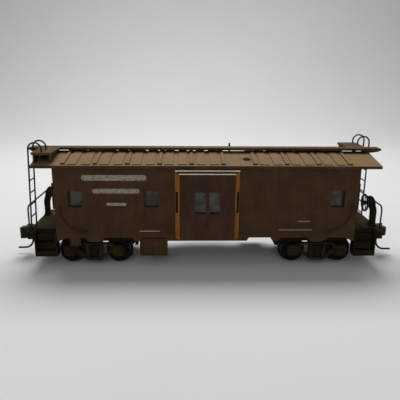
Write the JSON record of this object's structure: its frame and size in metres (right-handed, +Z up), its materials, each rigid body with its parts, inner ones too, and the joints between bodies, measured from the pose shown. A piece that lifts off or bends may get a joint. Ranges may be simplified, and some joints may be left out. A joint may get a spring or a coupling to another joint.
{
  "type": "model caboose",
  "caption": "Weathered model railway caboose with bay windows, end platforms, ladders, swivelling trucks, spinning wheelsets, swinging couplers and turning hand-brake wheels.",
  "frame": {"origin": "middle of the car, at the height of the bottom of the wheel flanges", "axes": "+X along the car towards its right end, -Y out of the front side, +Z up"},
  "size_m": [0.1614, 0.0356, 0.0505],
  "materials": {
    "body_paint": "weathered flat dark brown",
    "bay_paint": "weathered dark brown face, faded orange ends",
    "roof_paint": "dusty tan over brown, flat",
    "deck_paint": "dusty dark olive brown, flat",
    "truck_plastic": "grimy black brown, flat",
    "wheel_steel": "blackened steel, rusty faces",
    "black_wire": "black wire, slightly worn",
    "coupler_metal": "dusty rust brown",
    "clear_plastic": "dusty grey green clear plastic",
    "weight_steel": "plain steel",
    "spring_bronze": "bronze",
    "screw_steel": "plain steel"
  },
  "bodies": {
    "car_body": {"body_shell": "body_paint", "bay_window_front": "bay_paint", "bay_window_back": "bay_paint", "roof": "roof_paint", "running_board": "roof_paint", "running_board_saddles": "roof_paint", "roof_platform_left": "roof_paint", "roof_platform_right": "roof_paint", "vent_pipe": "black_wire", "ladder_left": "black_wire", "ladder_right": "black_wire", "end_railing_left": "black_wire", "end_railing_right": "black_wire", "brake_stand_left": "deck_paint", "brake_stand_right": "deck_paint", "underframe": "deck_paint", "ballast_weight": "weight_steel", "side_glazing": "clear_plastic", "bay_glazing": "clear_plastic", "door_glazing": "clear_plastic", "battery_box_front": "body_paint", "battery_box_back": "body_paint", "equipment_box_front": "body_paint", "equipment_box_back": "body_paint", "side_handrails": "black_wire", "end_grab_irons": "black_wire", "end_platform_left": "deck_paint", "end_platform_right": "deck_paint", "draft_gear_box_left": "deck_paint", "draft_gear_box_right": "deck_paint", "draft_gear_covers": "deck_paint", "centering_springs": "spring_bronze", "coupler_screws": "screw_steel", "kingpin_screws": "screw_steel"},
    "truck_left": {"truck_bolster_left": "truck_plastic", "sideframe_left_front": "truck_plastic", "sideframe_left_back": "truck_plastic", "leaf_springs_left": "truck_plastic"},
    "truck_right": {"truck_bolster_right": "truck_plastic", "sideframe_right_front": "truck_plastic", "sideframe_right_back": "truck_plastic", "leaf_springs_right": "truck_plastic"},
    "wheelset_1": {"axle_1": "wheel_steel", "wheels_1": "wheel_steel"},
    "wheelset_2": {"axle_2": "wheel_steel", "wheels_2": "wheel_steel"},
    "wheelset_3": {"axle_3": "wheel_steel", "wheels_3": "wheel_steel"},
    "wheelset_4": {"axle_4": "wheel_steel", "wheels_4": "wheel_steel"},
    "coupler_left": {"coupler_shank_left": "coupler_metal"},
    "knuckle_left": {"knuckle_left": "coupler_metal", "trip_pin_left": "coupler_metal"},
    "brake_wheel_left": {"brake_wheel_left": "black_wire"},
    "coupler_right": {"coupler_shank_right": "coupler_metal"},
    "knuckle_right": {"knuckle_right": "coupler_metal", "trip_pin_right": "coupler_metal"},
    "brake_wheel_right": {"brake_wheel_right": "black_wire"}
  },
  "joints": [
    {"name": "truck_left_swivel", "type": "hinge", "parent": "car_body", "child": "truck_left", "pos_m": [-0.0453, 0, 0.009], "axis": [0, 0, 1], "range_deg": [-7.5, 7.5]},
    {"name": "truck_right_swivel", "type": "hinge", "parent": "car_body", "child": "truck_right", "pos_m": [0.0453, 0, 0.009], "axis": [0, 0, 1], "range_deg": [-7.5, 7.5]},
    {"name": "wheelset_1_spin", "type": "hinge", "parent": "truck_left", "child": "wheelset_1", "pos_m": [-0.05493, 0, 0.0055], "axis": [0, 1, 0], "continuous": true},
    {"name": "wheelset_2_spin", "type": "hinge", "parent": "truck_left", "child": "wheelset_2", "pos_m": [-0.03567, 0, 0.0055], "axis": [0, 1, 0], "continuous": true},
    {"name": "wheelset_3_spin", "type": "hinge", "parent": "truck_right", "child": "wheelset_3", "pos_m": [0.03567, 0, 0.0055], "axis": [0, 1, 0], "continuous": true},
    {"name": "wheelset_4_spin", "type": "hinge", "parent": "truck_right", "child": "wheelset_4", "pos_m": [0.05493, 0, 0.0055], "axis": [0, 1, 0], "continuous": true},
    {"name": "coupler_left_swing", "type": "hinge", "parent": "car_body", "child": "coupler_left", "pos_m": [-0.0627, 0, 0.0105], "axis": [0, 0, 1], "range_deg": [-10, 10]},
    {"name": "knuckle_left_open", "type": "hinge", "parent": "coupler_left", "child": "knuckle_left", "pos_m": [-0.0742, 0.0013, 0.0105], "axis": [0, 0, -1], "range_deg": [0, 25]},
    {"name": "brake_wheel_left_turn", "type": "hinge", "parent": "car_body", "child": "brake_wheel_left", "pos_m": [-0.065, 0.0077, 0.0252], "axis": [1, 0, 0], "continuous": true},
    {"name": "coupler_right_swing", "type": "hinge", "parent": "car_body", "child": "coupler_right", "pos_m": [0.0627, 0, 0.0105], "axis": [0, 0, 1], "range_deg": [-10, 10]},
    {"name": "knuckle_right_open", "type": "hinge", "parent": "coupler_right", "child": "knuckle_right", "pos_m": [0.0742, -0.0013, 0.0105], "axis": [0, 0, -1], "range_deg": [0, 25]},
    {"name": "brake_wheel_right_turn", "type": "hinge", "parent": "car_body", "child": "brake_wheel_right", "pos_m": [0.065, -0.0077, 0.0252], "axis": [1, 0, 0], "continuous": true}
  ]
}
